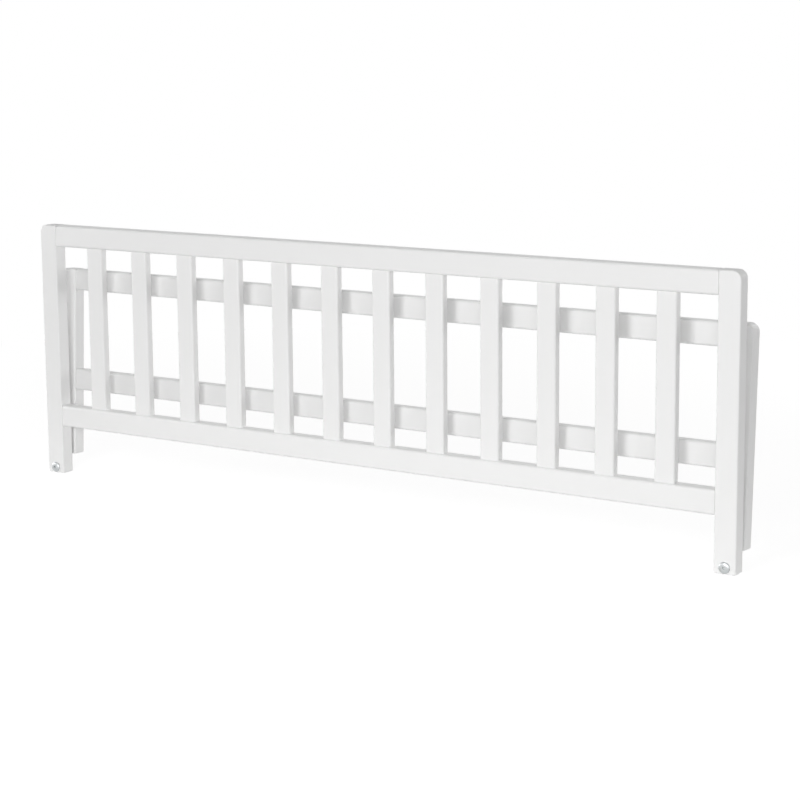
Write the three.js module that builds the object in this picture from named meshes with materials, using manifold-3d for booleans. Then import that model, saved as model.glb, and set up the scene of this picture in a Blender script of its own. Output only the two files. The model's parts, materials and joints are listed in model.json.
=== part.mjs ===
// A folding bed guard rail of lacquered wood. A slatted guard frame stands on two posts, and a lighter
// support frame is hinged to the foot of the posts. The support frame stands folded up behind the guard,
// leaning back a little. Folded down, it lies under the mattress and holds the guard upright.
// Millimetres, +Z up, X along the guard, +Y from the guard's front to the support frame behind it.

import * as THREE from 'three';
import { mergeVertices } from 'three/addons/utils/BufferGeometryUtils.js';
import Module from 'manifold-3d';

const wasm = await Module();
wasm.setup();

// Guard frame
const guardLength = 1200;
const postHeight = 403;
const postWidth = 32;
const postDepth = 23;
const topRailHeight = 34;
const bottomRailHeight = 34.5;
const guardRailDepth = 22;
const bottomRailLift = 77.7;

// Slats
const slatCount = 12;
const slatWidth = 30;
const slatThickness = 14.5;
const tenonLength = 10;
const tenonShoulder = 2.5;

// Support frame
const legWidth = 32;
const legDepth = 22;
const legLength = 302;
const supportRailHeight = 34;
const supportRailThickness = 19;
const lowerSupportRailLift = 106;
const leanAngle = THREE.MathUtils.degToRad(3);

// Rounding of the wood
const cornerRadius = 12;
const footRadius = 2.5;
const edgeRadius = 2.2;
const slatEdgeRadius = 3.5;
const railEdgeRadius = 4;

// Dowels in the rail joints
const dowelDiameter = 8;
const dowelLength = 40;
const dowelChamfer = 1;
const dowelSpacing = 17;

// Butt hinges
const leafWidth = 20;
const leafLength = 22.5;
const leafThickness = 2;
const leafSpacing = 1;
const knuckleRadius = 2.2;
const pinRadius = 1;
const pinHeadRadius = 1.7;
const pinHeadThickness = 0.8;

// Through bolts and their sleeve nuts
const boltHeight = 9.5;
const boltRadius = 3;
const boltLength = 17;
const boltHeadRadius = 8;
const boltHeadRim = 0.8;
const boltHeadThickness = 3.4;
const boltTipChamfer = 0.8;
const sleeveRadius = 4;
const sleeveLength = 16;
const sleeveHeadRadius = 5.5;
const sleeveHeadThickness = 1.5;
const sleeveFloor = 4;
const socketWidth = 4;
const boltSocketDepth = 2.2;
const sleeveSocketDepth = 2;

// Wood screws
const screwRadius = 1.5;
const screwHeadRadius = 3;
const screwHeadThickness = 1.6;
const screwTipLength = 4;
const screwLength = 18;
const screwSlotLength = 3.4;
const screwSlotWidth = 0.8;
const screwSlotDepth = 1;
const screwRowOffset = 7;
const screwRowSpread = 13;
const middleScrewOffset = 15.5;

// Clearances
const fitGap = 0.3;
const runningGap = 0.2;
const holeEndGap = 1;
const cutOverrun = 1;

// Facets
const cornerSteps = 8;
const edgeSteps = 4;
const domeSteps = 6;
const headSides = 32;
const barrelSides = 24;
const smallSides = 16;
const hexSides = 6;

// Places that follow from the sizes above
const innerLength = guardLength - 2 * postWidth;
const legInnerLength = guardLength - 2 * legWidth;
const topRailLift = postHeight - topRailHeight;
const bottomRailTop = bottomRailLift + bottomRailHeight;
const slatHeight = topRailLift - bottomRailTop;
const slatGap = (innerLength - slatCount * slatWidth) / (slatCount + 1);
const leafOffset = leafThickness + leafSpacing / 2;
const hingeY = postDepth + leafOffset;
const legFront = leafOffset + fitGap;
const legFoot = knuckleRadius + fitGap;
const hingeZ = legFront + legDepth;
const hingeX = (guardLength - postWidth) / 2;
const upperSupportRailLift = legLength - supportRailHeight;
const sides = [['left', -1], ['right', 1]];
const levels = [['low', -1], ['high', 1]];

// Directions in which a piece built along +Z is laid
const right = new THREE.Vector3(1, 0, 0);
const left = new THREE.Vector3(-1, 0, 0);
const back = new THREE.Vector3(0, 1, 0);
const front = new THREE.Vector3(0, -1, 0);
const up = new THREE.Vector3(0, 0, 1);
const down = new THREE.Vector3(0, 0, -1);
const alongX = new THREE.Matrix4().makeBasis(back, up, right);
const towardsFront = new THREE.Matrix4().makeBasis(right, up, front);
const hangingDown = new THREE.Matrix4().makeBasis(left, down, front);
const standingUp = new THREE.Matrix4().makeBasis(left, up, back);

// Materials

function paintedWood() {
  return new THREE.MeshStandardMaterial({ color: 0xf1f2f1, roughness: 0.42, metalness: 0 });
}

function bareBeech() {
  return new THREE.MeshStandardMaterial({ color: 0xd9b98c, roughness: 0.7, metalness: 0 });
}

function zincPlatedSteel() {
  return new THREE.MeshStandardMaterial({ color: 0xc9ced2, roughness: 0.3, metalness: 1 });
}

// Solids

function toSolid(geometry) {
  const bare = geometry.clone();
  bare.deleteAttribute('normal');
  bare.deleteAttribute('uv');
  const merged = mergeVertices(bare);
  const vertProperties = new Float32Array(merged.attributes.position.array);
  const triVerts = new Uint32Array(merged.index.array);
  return new wasm.Manifold(new wasm.Mesh({ numProp: 3, vertProperties, triVerts }));
}

function toGeometry(solid) {
  const { vertProperties, triVerts } = solid.getMesh();
  const geometry = new THREE.BufferGeometry();
  geometry.setAttribute('position', new THREE.BufferAttribute(vertProperties, 3));
  geometry.setIndex(new THREE.BufferAttribute(triVerts, 1));
  geometry.computeVertexNormals();
  return geometry;
}

function subtractAll(solid, cutters) {
  return cutters.reduce((rest, cutter) => rest.subtract(toSolid(cutter)), solid);
}

function piece(name, geometry, material) {
  const mesh = new THREE.Mesh(geometry, material);
  mesh.name = name;
  return mesh;
}

// Shapes

function arc(centreX, centreY, radius, fromAngle, toAngle, steps) {
  const points = [];
  for (let i = 0; i <= steps; i += 1) {
    const angle = THREE.MathUtils.lerp(fromAngle, toAngle, i / steps);
    points.push(new THREE.Vector2(centreX + radius * Math.cos(angle), centreY + radius * Math.sin(angle)));
  }
  return points;
}

function roundedRectangle(width, height, radius) {
  const x = width / 2 - radius;
  const y = height / 2 - radius;
  return new THREE.Shape([
    ...arc(x, -y, radius, -Math.PI / 2, 0, edgeSteps),
    ...arc(x, y, radius, 0, Math.PI / 2, edgeSteps),
    ...arc(-x, y, radius, Math.PI / 2, Math.PI, edgeSteps),
    ...arc(-x, -y, radius, Math.PI, 1.5 * Math.PI, edgeSteps),
  ]);
}

function box(width, depth, height) {
  return new THREE.BoxGeometry(width, depth, height);
}

// A turned piece from a profile of [radius, place along +Z], starting and ending on the axis.
function turned(profile, facets) {
  const points = profile.map(([radius, place]) => new THREE.Vector2(radius, place));
  return new THREE.LatheGeometry(points, facets).rotateX(Math.PI / 2);
}

function rod(radius, length, facets) {
  return new THREE.CylinderGeometry(radius, radius, length, facets).rotateX(Math.PI / 2);
}

// A post or leg seen from the front: square at the inner side, with a rounded top corner at the outer side.
function uprightOutline(width, height, side) {
  const points = [
    new THREE.Vector2(0, height),
    new THREE.Vector2(0, 0),
    ...arc(width - footRadius, footRadius, footRadius, -Math.PI / 2, 0, edgeSteps),
    ...arc(width - cornerRadius, height - cornerRadius, cornerRadius, 0, Math.PI / 2, cornerSteps),
  ];
  return new THREE.Shape(points.map((point) => new THREE.Vector2(side * point.x, point.y)));
}

// An upright with its inner face at x = 0, its front face at y = 0 and its foot at z = 0.
function upright(width, depth, height, side) {
  const geometry = new THREE.ExtrudeGeometry(uprightOutline(width, height, side), {
    depth: depth - 2 * edgeRadius,
    bevelThickness: edgeRadius,
    bevelSize: edgeRadius,
    bevelOffset: -edgeRadius,
    bevelSegments: edgeSteps,
  });
  return geometry.translate(0, 0, edgeRadius - depth).applyMatrix4(towardsFront);
}

// A rail centred on its length and depth, with its underside at z = 0.
function railBar(length, depth, height) {
  const section = roundedRectangle(depth, height, railEdgeRadius);
  const geometry = new THREE.ExtrudeGeometry(section, { depth: length, bevelEnabled: false });
  return geometry.translate(0, height / 2, -length / 2).applyMatrix4(alongX);
}

// Dowels

function dowel() {
  const radius = dowelDiameter / 2;
  const end = dowelLength / 2;
  return turned([
    [0, -end],
    [radius - dowelChamfer, -end],
    [radius, dowelChamfer - end],
    [radius, end - dowelChamfer],
    [radius - dowelChamfer, end],
    [0, end],
  ], smallSides).applyMatrix4(alongX);
}

function dowelHole(x, y, z) {
  const radius = dowelDiameter / 2 + fitGap;
  const length = dowelLength + 2 * holeEndGap;
  return rod(radius, length, smallSides).applyMatrix4(alongX).translate(x, y, z);
}

function dowelHeights(railLift, railHeight) {
  return levels.map(([, level]) => railLift + railHeight / 2 + level * dowelSpacing / 2);
}

function addDowels(group, joint, x, y, railLift, railHeight) {
  const heights = dowelHeights(railLift, railHeight);
  for (const [sideName, side] of sides) {
    levels.forEach(([levelName], i) => {
      const mesh = piece(`dowel_${joint}_${sideName}_${levelName}`, dowel(), bareBeech());
      mesh.position.set(side * x, y, heights[i]);
      group.add(mesh);
    });
  }
}

// Screws, bolts and nuts

function screwProfile(gap) {
  return [
    [screwHeadRadius + gap, 0],
    [screwRadius + gap, screwHeadThickness],
    [screwRadius + gap, screwLength - screwTipLength],
    [0, screwLength + gap],
  ];
}

// A countersunk wood screw with its head's face at the origin and its tip towards +Z.
function woodScrew() {
  const blank = toSolid(turned([[0, 0], ...screwProfile(0)], smallSides));
  const depth = 2 * screwSlotDepth;
  const cross = [box(screwSlotLength, screwSlotWidth, depth), box(screwSlotWidth, screwSlotLength, depth)];
  return toGeometry(subtractAll(blank, cross));
}

function screwHole() {
  const mouth = [[0, -cutOverrun], [screwHeadRadius + fitGap, -cutOverrun]];
  return turned([...mouth, ...screwProfile(fitGap)], smallSides);
}

function hexSocket(depth) {
  const radius = socketWidth / Math.sqrt(3);
  return rod(radius, 2 * depth, hexSides);
}

// A domed bolt with its head's underside at the origin, its head towards +Z and its shank behind.
function domedBolt() {
  const dome = arc(0, 0, 1, 0, Math.PI / 2, domeSteps).map(({ x, y }) => [
    boltHeadRadius * x,
    THREE.MathUtils.lerp(boltHeadRim, boltHeadThickness, y),
  ]);
  dome[domeSteps][0] = 0;
  const blank = toSolid(turned([
    [0, -boltLength],
    [boltRadius - boltTipChamfer, -boltLength],
    [boltRadius, boltTipChamfer - boltLength],
    [boltRadius, 0],
    [boltHeadRadius, 0],
    ...dome,
  ], headSides));
  return toGeometry(subtractAll(blank, [hexSocket(boltSocketDepth).translate(0, 0, boltHeadThickness)]));
}

// A countersunk sleeve nut with its head's face at the origin and its open end towards +Z.
function sleeveNut() {
  const blank = toSolid(turned([
    [0, 0],
    [sleeveHeadRadius, 0],
    [sleeveRadius, sleeveHeadThickness],
    [sleeveRadius, sleeveLength],
    [boltRadius + fitGap, sleeveLength],
    [boltRadius + fitGap, sleeveFloor],
    [0, sleeveFloor],
  ], smallSides));
  return toGeometry(subtractAll(blank, [hexSocket(sleeveSocketDepth)]));
}

// The hole for a sleeve nut, and beyond it for the bolt that it meets.
function sleeveHole() {
  const sleeveEnd = sleeveLength + holeEndGap;
  const through = postDepth + leafThickness + cutOverrun;
  return turned([
    [0, -cutOverrun],
    [sleeveHeadRadius + fitGap, -cutOverrun],
    [sleeveHeadRadius + fitGap, 0],
    [sleeveRadius + fitGap, sleeveHeadThickness],
    [sleeveRadius + fitGap, sleeveEnd],
    [boltRadius + fitGap, sleeveEnd],
    [boltRadius + fitGap, through],
    [0, through],
  ], smallSides);
}

// Hinge leaves

// The knuckles split the leaf's width in three: the post's leaf has the outer two, the leg's the middle one.
const knuckleWidth = leafWidth / 3;

// Screws of a leaf as [x, distance from the hinge axis].
const outerScrews = sides.map(([, side]) => [side * screwRowSpread / 2, screwRowOffset]);
const postScrews = outerScrews;
const legScrews = [...outerScrews, [0, middleScrewOffset]];

// A leaf whose axis is the X axis. Its plate runs from the axis along +Y, with the face that lies on the wood
// at z = leafOffset.
function hingeLeaf(knuckles, holes) {
  const plate = toSolid(box(leafWidth, leafLength, leafThickness)
    .translate(0, leafLength / 2, leafOffset - leafThickness / 2));
  const clearing = 2 * (knuckleRadius + fitGap);
  const others = [-1, 0, 1].filter((place) => !knuckles.includes(place));
  const notches = others.map((place) => {
    const reach = knuckleWidth + 2 * runningGap;
    return box(reach, clearing, clearing).translate(place * knuckleWidth, 0, leafOffset / 2);
  });
  const notched = subtractAll(plate, notches);
  const barrels = knuckles.map((place) => {
    const width = knuckleWidth - 2 * runningGap;
    return rod(knuckleRadius, width, barrelSides).applyMatrix4(alongX).translate(place * knuckleWidth, 0, 0);
  });
  const joined = barrels.reduce((rest, barrel) => rest.add(toSolid(barrel)), notched);
  const bore = rod(pinRadius + runningGap, leafWidth + 2 * cutOverrun, barrelSides).applyMatrix4(alongX);
  return toGeometry(subtractAll(joined, [bore, ...holes]));
}

// The post's leaf hangs down the post's back face from the axis, with its screws and bolt from behind.
function postLeaf() {
  const inner = leafOffset - leafThickness;
  const holes = postScrews.map(([x, distance]) => screwHole().translate(x, distance, inner));
  const nut = sleeveHole().translate(0, hingeZ - boltHeight, inner);
  return hingeLeaf([-1, 1], [...holes, nut]).applyMatrix4(hangingDown);
}

// The leg's leaf stands up the leg's front face from the axis, with its screws from in front.
function legLeaf() {
  const inner = leafOffset - leafThickness;
  const holes = legScrews.map(([x, distance]) => screwHole().translate(x, distance, inner));
  return hingeLeaf([0], holes).applyMatrix4(standingUp);
}

function hingePin() {
  const inner = leafWidth / 2 + runningGap;
  const end = inner + pinHeadThickness;
  return turned([
    [0, -end],
    [pinHeadRadius, -end],
    [pinHeadRadius, -inner],
    [pinRadius, -inner],
    [pinRadius, inner],
    [pinHeadRadius, inner],
    [pinHeadRadius, end],
    [0, end],
  ], barrelSides).applyMatrix4(alongX);
}

// Guard frame

function makePost(sideName, side) {
  const railHeights = [
    ...dowelHeights(bottomRailLift, bottomRailHeight),
    ...dowelHeights(topRailLift, topRailHeight),
  ];
  const middle = side * postWidth / 2;
  const leafFace = postDepth + leafThickness;
  const cutters = [
    ...railHeights.map((height) => dowelHole(0, postDepth / 2, height)),
    ...postScrews.map(([x, distance]) => screwHole().applyMatrix4(towardsFront)
      .translate(middle + x, leafFace, hingeZ - distance)),
    sleeveHole().applyMatrix4(towardsFront).translate(middle, leafFace, boltHeight),
  ];
  const blank = toSolid(upright(postWidth, postDepth, postHeight, side));
  const mesh = piece(`post_${sideName}`, toGeometry(subtractAll(blank, cutters)), paintedWood());
  mesh.position.x = side * innerLength / 2;
  return mesh;
}

function slatPlace(index) {
  return (index + 1) * slatGap + (index + 0.5) * slatWidth - innerLength / 2;
}

function makeGuardRail(name, height, lift, mortiseFace) {
  const mortises = Array.from({ length: slatCount }, (_, i) => {
    const width = slatWidth - 2 * tenonShoulder + 2 * fitGap;
    const thickness = slatThickness - 2 * tenonShoulder + 2 * fitGap;
    return box(width, thickness, 2 * (tenonLength + holeEndGap)).translate(slatPlace(i), 0, mortiseFace);
  });
  const holes = dowelHeights(0, height).flatMap((place) => (
    sides.map(([, side]) => dowelHole(side * innerLength / 2, 0, place))
  ));
  const blank = toSolid(railBar(innerLength, guardRailDepth, height));
  const mesh = piece(name, toGeometry(subtractAll(blank, [...mortises, ...holes])), paintedWood());
  mesh.position.set(0, postDepth / 2, lift);
  return mesh;
}

// A slat with a stub tenon at each end, its lower shoulder at z = 0.
function slat() {
  const section = roundedRectangle(slatWidth, slatThickness, slatEdgeRadius);
  const body = toSolid(new THREE.ExtrudeGeometry(section, { depth: slatHeight, bevelEnabled: false }));
  const tenons = box(
    slatWidth - 2 * tenonShoulder,
    slatThickness - 2 * tenonShoulder,
    slatHeight + 2 * tenonLength,
  ).translate(0, 0, slatHeight / 2);
  return toGeometry(body.add(toSolid(tenons)));
}

function makeSlat(index) {
  const mesh = piece(`slat_${String(index + 1).padStart(2, '0')}`, slat(), paintedWood());
  mesh.position.set(slatPlace(index), postDepth / 2, bottomRailTop);
  return mesh;
}

function addPostHinge(group, sideName, side) {
  const leaf = piece(`hinge_${sideName}_post_leaf`, postLeaf(), zincPlatedSteel());
  leaf.position.set(side * hingeX, hingeY, hingeZ);
  const pin = piece(`hinge_${sideName}_pin`, hingePin(), zincPlatedSteel());
  pin.position.copy(leaf.position);
  const bolt = piece(`bolt_${sideName}`, domedBolt().applyMatrix4(towardsFront), zincPlatedSteel());
  bolt.position.set(side * hingeX, 0, boltHeight);
  const nut = piece(`sleeve_nut_${sideName}`, sleeveNut().applyMatrix4(towardsFront), zincPlatedSteel());
  nut.position.set(side * hingeX, postDepth + leafThickness, boltHeight);
  group.add(leaf, pin, bolt, nut);
  postScrews.forEach(([x, distance], i) => {
    const geometry = woodScrew().applyMatrix4(towardsFront);
    const screw = piece(`screw_${sideName}_post_${i + 1}`, geometry, zincPlatedSteel());
    screw.position.set(side * hingeX + x, postDepth + leafThickness, hingeZ - distance);
    group.add(screw);
  });
}

function makeGuardFrame() {
  const group = new THREE.Group();
  group.add(makeGuardRail('top_rail', topRailHeight, topRailLift, 0));
  group.add(makeGuardRail('bottom_rail', bottomRailHeight, bottomRailLift, bottomRailHeight));
  for (let i = 0; i < slatCount; i += 1) {
    group.add(makeSlat(i));
  }
  addDowels(group, 'top_rail', innerLength / 2, postDepth / 2, topRailLift, topRailHeight);
  addDowels(group, 'bottom_rail', innerLength / 2, postDepth / 2, bottomRailLift, bottomRailHeight);
  for (const [sideName, side] of sides) {
    group.add(makePost(sideName, side));
    addPostHinge(group, sideName, side);
  }
  return group;
}

// Support frame, built upright with the hinge axis at its origin, then leant back about that axis

const supportRailY = legFront + supportRailThickness / 2;

function makeLeg(sideName, side) {
  const heights = [
    ...dowelHeights(lowerSupportRailLift, supportRailHeight),
    ...dowelHeights(upperSupportRailLift, supportRailHeight),
  ];
  const middle = side * (legWidth - postWidth / 2);
  const screwFace = -fitGap - leafThickness;
  const cutters = [
    ...heights.map((height) => dowelHole(0, supportRailThickness / 2, height)),
    ...legScrews.map(([x, distance]) => screwHole().applyMatrix4(standingUp)
      .translate(middle + x, screwFace, distance - legFoot)),
  ];
  const blank = toSolid(upright(legWidth, legDepth, legLength, side));
  const mesh = piece(`support_leg_${sideName}`, toGeometry(subtractAll(blank, cutters)), paintedWood());
  mesh.position.set(side * legInnerLength / 2, legFront, legFoot);
  return mesh;
}

function makeSupportRail(name, lift) {
  const length = legInnerLength - 2 * fitGap;
  const holes = dowelHeights(0, supportRailHeight).flatMap((place) => (
    sides.map(([, side]) => dowelHole(side * legInnerLength / 2, 0, place))
  ));
  const blank = toSolid(railBar(length, supportRailThickness, supportRailHeight));
  const mesh = piece(name, toGeometry(subtractAll(blank, holes)), paintedWood());
  mesh.position.set(0, supportRailY, legFoot + lift);
  return mesh;
}

function addLegHinge(group, sideName, side) {
  const leaf = piece(`hinge_${sideName}_leg_leaf`, legLeaf(), zincPlatedSteel());
  leaf.position.x = side * hingeX;
  group.add(leaf);
  legScrews.forEach(([x, distance], i) => {
    const geometry = woodScrew().applyMatrix4(standingUp);
    const screw = piece(`screw_${sideName}_leg_${i + 1}`, geometry, zincPlatedSteel());
    screw.position.set(side * hingeX + x, leafOffset - leafThickness, distance);
    group.add(screw);
  });
}

function makeSupportFrame() {
  const group = new THREE.Group();
  group.add(makeSupportRail('support_rail_upper', upperSupportRailLift));
  group.add(makeSupportRail('support_rail_lower', lowerSupportRailLift));
  const x = legInnerLength / 2;
  addDowels(group, 'support_upper', x, supportRailY, legFoot + upperSupportRailLift, supportRailHeight);
  addDowels(group, 'support_lower', x, supportRailY, legFoot + lowerSupportRailLift, supportRailHeight);
  for (const [sideName, side] of sides) {
    group.add(makeLeg(sideName, side));
    addLegHinge(group, sideName, side);
  }
  group.position.set(0, hingeY, hingeZ);
  group.rotation.x = -leanAngle;
  return group;
}

// The whole guard, with its origin on the floor under the middle of its depth and length.
const bedGuard = new THREE.Group();
bedGuard.add(makeGuardFrame(), makeSupportFrame());
const outer = new THREE.Box3().setFromObject(bedGuard, true);
bedGuard.position.y = -(outer.min.y + outer.max.y) / 2;

export default bedGuard;
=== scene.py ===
"""A folding bed guard rail of white lacquered beech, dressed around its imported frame.

The guard frame has two posts, two rails and twelve slats. A lighter support frame of two legs and two rails
hangs on butt hinges at the foot of the posts. Lengths are metres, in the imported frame: +X along the guard,
+Y from its front to the support frame behind it, +Z up.
"""

import json
import math

import bmesh
import bpy
from bpy.props import FloatProperty, FloatVectorProperty, PointerProperty
from mathutils import Matrix, Vector


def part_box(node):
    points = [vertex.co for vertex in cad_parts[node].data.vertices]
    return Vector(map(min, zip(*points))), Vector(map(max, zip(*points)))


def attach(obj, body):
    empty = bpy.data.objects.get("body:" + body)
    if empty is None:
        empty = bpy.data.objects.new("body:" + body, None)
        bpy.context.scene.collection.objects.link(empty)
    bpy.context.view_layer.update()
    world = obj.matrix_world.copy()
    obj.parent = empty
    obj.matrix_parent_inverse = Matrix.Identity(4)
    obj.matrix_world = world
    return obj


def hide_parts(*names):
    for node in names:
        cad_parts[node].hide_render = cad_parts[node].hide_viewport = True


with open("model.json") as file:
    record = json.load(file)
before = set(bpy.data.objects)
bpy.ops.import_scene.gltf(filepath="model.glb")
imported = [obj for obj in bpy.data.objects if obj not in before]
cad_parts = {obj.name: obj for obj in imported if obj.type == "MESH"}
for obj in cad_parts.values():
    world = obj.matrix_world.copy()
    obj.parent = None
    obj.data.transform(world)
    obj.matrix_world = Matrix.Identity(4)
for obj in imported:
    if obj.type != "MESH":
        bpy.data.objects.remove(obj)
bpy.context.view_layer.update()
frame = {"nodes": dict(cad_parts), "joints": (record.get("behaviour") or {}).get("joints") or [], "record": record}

bl_info = {
    "name": "Folding bed guard rail",
    "version": (1, 0, 0),
    "blender": (4, 5, 0),
    "location": "View3D > Sidebar > Bed guard",
    "description": "Builds a slatted, lacquered bed guard rail with its folding support frame",
    "category": "Add Mesh",
}

MM = 0.001
SIDES = {"left": -1, "right": 1}

# The fold joint of the frame says where the hinge axis is and how far the support frame leans at rest.
FOLD = frame["joints"][0]
HINGE_AXIS = Vector(FOLD["pos_m"])
LEAN = math.radians(-FOLD["range_deg"][0])
LEANT = (
    Matrix.Translation(HINGE_AXIS) @ Matrix.Rotation(-LEAN, 4, "X") @ Matrix.Translation(-HINGE_AXIS)
)
STANDING = {"guard_frame": Matrix.Identity(4), "support_frame": LEANT}

# Softboxes: where each stands, where it faces, and its width and height.
LAMPS = {
    "key_light": ((0.255, -1.95, 0.65), (0.1, 0, 0.2), (0.75, 1.1)),
    "fill_light": ((1.7, -2.63, 0.865), (0, 0, 0.2), (1.2, 1.2)),
    "left_light": ((-2.2, -1.27, 0.6), (0, 0, 0.2), (1.0, 1.0)),
    "left_side_light": ((-2.6, 0.1, 0.4), (0, 0, 0.2), (1.0, 1.0)),
    "right_light": ((2.091, -1.159, 0.409), (0, 0, 0.2), (0.8, 0.8)),
    "rear_light": ((2.2, 1.4, 0.5), (0, 0, 0.2), (1.0, 1.0)),
    "back_light": ((0.5, 2.5, 0.5), (0, 0, 0.2), (1.0, 1.0)),
}

# The pool of light painted into the floor's colour, twice as long as it is deep: where it starts to fall off, and
# where it ends.
PAINTED_POOL_SHAPE = (0.5, 1.0, 1.0)
PAINTED_POOL_REACH = (0.38, 0.9)

# Where the floor with the guard's shadow starts to turn plain white and where it has, and how far it goes.
SHADED_FLOOR = (0.8, 1.8)
FLOOR_REACH = 60

# Sizes of the patterns in the finishes: how wide, or how wide and long, one mark is.
COAT_PATCH = 90 * MM
WOOD_GRAIN = (1.6 * MM, 70 * MM)
END_PORE = 0.7 * MM
BEECH_RAY = (0.6 * MM, 5 * MM)
PLATING_HAZE = 6 * MM
PLATING_SCUFF = 0.9 * MM
PAPER_FIBRE = 4 * MM
# The real orange peel is about 1 mm across, drawn coarser so that it shows.
ORANGE_PEEL = 2.5 * MM

# How far a face has to look along the grain to start to be end grain, and to be all end grain.
END_GRAIN = (0.85, 0.98)

# Sharp edges are those that turn by more than this: on prisms before they are eased, on lofts, and elsewhere.
PRISM_EDGE = math.radians(30)
LOFT_EDGE = math.radians(40)
SHARP_EDGE = math.radians(35)

# An edge of a prism that points along its depth by more than this share runs along its side.
RUNS_ALONG = 0.9

# Points of a turned piece that are nearer to each other than this are one point.
SAME_PLACE = 0.001 * MM

# How finely rounds are drawn: segments of an eased edge, steps of a quarter circle, steps of a turned piece.
EDGE_SEGMENTS = 6
RAIL_END_STEPS = 6
SMALL_ARC_STEPS = 8
CORNER_STEPS = 16
SMALL_TURN = 32
MIDDLE_TURN = 48
LARGE_TURN = 64

# Depth of a thread as a share of its pitch, and radius of a screw's point as a share of its shank's.
THREAD_DEPTH = 0.3
SCREW_POINT = 0.7

# Directions of a piece that is built with its length along +Z.
ALONG_X = Matrix(((0, 0, 1, 0), (1, 0, 0, 0), (0, 1, 0, 0), (0, 0, 0, 1)))
ALONG_Z = Matrix.Identity(4)
TO_FRONT = Matrix(((1, 0, 0, 0), (0, 0, -1, 0), (0, 1, 0, 0), (0, 0, 0, 1)))

# Directions of a hinge leaf, which is built from its axis along +Y with the wood on its +Z side: the post's
# leaf hangs down behind the post, and the leg's leaf stands up in front of the leg.
HANGING = Matrix(((-1, 0, 0, 0), (0, 0, -1, 0), (0, -1, 0, 0), (0, 0, 0, 1)))
RISING = Matrix(((-1, 0, 0, 0), (0, 0, 1, 0), (0, 1, 0, 0), (0, 0, 0, 1)))


def linear(hex_colour):
    """An sRGB hex colour as linear red, green, blue and alpha."""
    channels = [int(hex_colour[i:i + 2], 16) / 255 for i in (1, 3, 5)]
    return [c / 12.92 if c <= 0.04045 else ((c + 0.055) / 1.055) ** 2.4 for c in channels] + [1.0]


def length(name, description, millimetres):
    """A length property, given in millimetres and held in metres."""
    return FloatProperty(
        name=name, description=description, default=millimetres * MM, min=0.0, unit="LENGTH", precision=5
    )


def colour(name, description, hex_colour):
    """A colour property, given as an sRGB hex value."""
    return FloatVectorProperty(
        name=name, description=description, default=linear(hex_colour), size=4, min=0, max=1, subtype="COLOR"
    )


def power(name, description, watts):
    """A lamp's power property, in watts."""
    return FloatProperty(name=name, description=description, default=watts, min=0, subtype="POWER")


# Settings


class BedGuardWood(bpy.types.PropertyGroup):
    """Sizes and colours of the lacquered wood."""

    edge_radius: length("Eased edge", "Radius of the rounded edges of posts and legs", 2.2)
    rail_radius: length("Rail edge", "Radius of the rounded long edges of the rails", 4.0)
    rail_end_top: length("Rail end, top", "Rounding of a rail's end along its top edge", 3.0)
    rail_end_side: length(
        "Rail end, sides", "Rounding of a rail's end along its front, back and underside", 0.9
    )
    slat_radius: length("Slat edge", "Radius of the rounded long edges of the slats", 3.5)
    corner_radius: length("Top corner", "Radius of the outer top corners of posts and legs", 12.0)
    foot_radius: length("Foot corner", "Radius of the bottom corners of posts and legs", 2.5)
    arris: length("Arris", "Radius of the edges that meet another piece at a joint", 0.5)
    joint_line: length("Joint line", "Open line between a rail's end and the post or leg beside it", 0.15)
    coping: length("Coping", "How far a slat reaches down into the rounded edge of a rail", 0.4)
    shoulder: length("Shoulder", "Step between a slat's faces and its tenon", 2.5)
    tenon_radius: length("Tenon edge", "Radius of the tenon's rounded edges", 1.0)
    dowel_chamfer: length("Dowel chamfer", "Bevel at the ends of a dowel", 1.0)
    flute_depth: length("Dowel flute", "Depth of the glue flutes along a dowel", 0.35)
    lacquer: colour("Lacquer", "The white lacquer where the coat is full", "#f2f2f2")
    lacquer_thin: colour("Thin lacquer", "The lacquer where the wood shows through a little", "#eeeeed")
    beech: colour("Beech", "Bare beech of the dowels", "#d9b78c")
    beech_dark: colour("Beech rays", "The darker rays and pores of the dowels", "#b98f62")


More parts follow.
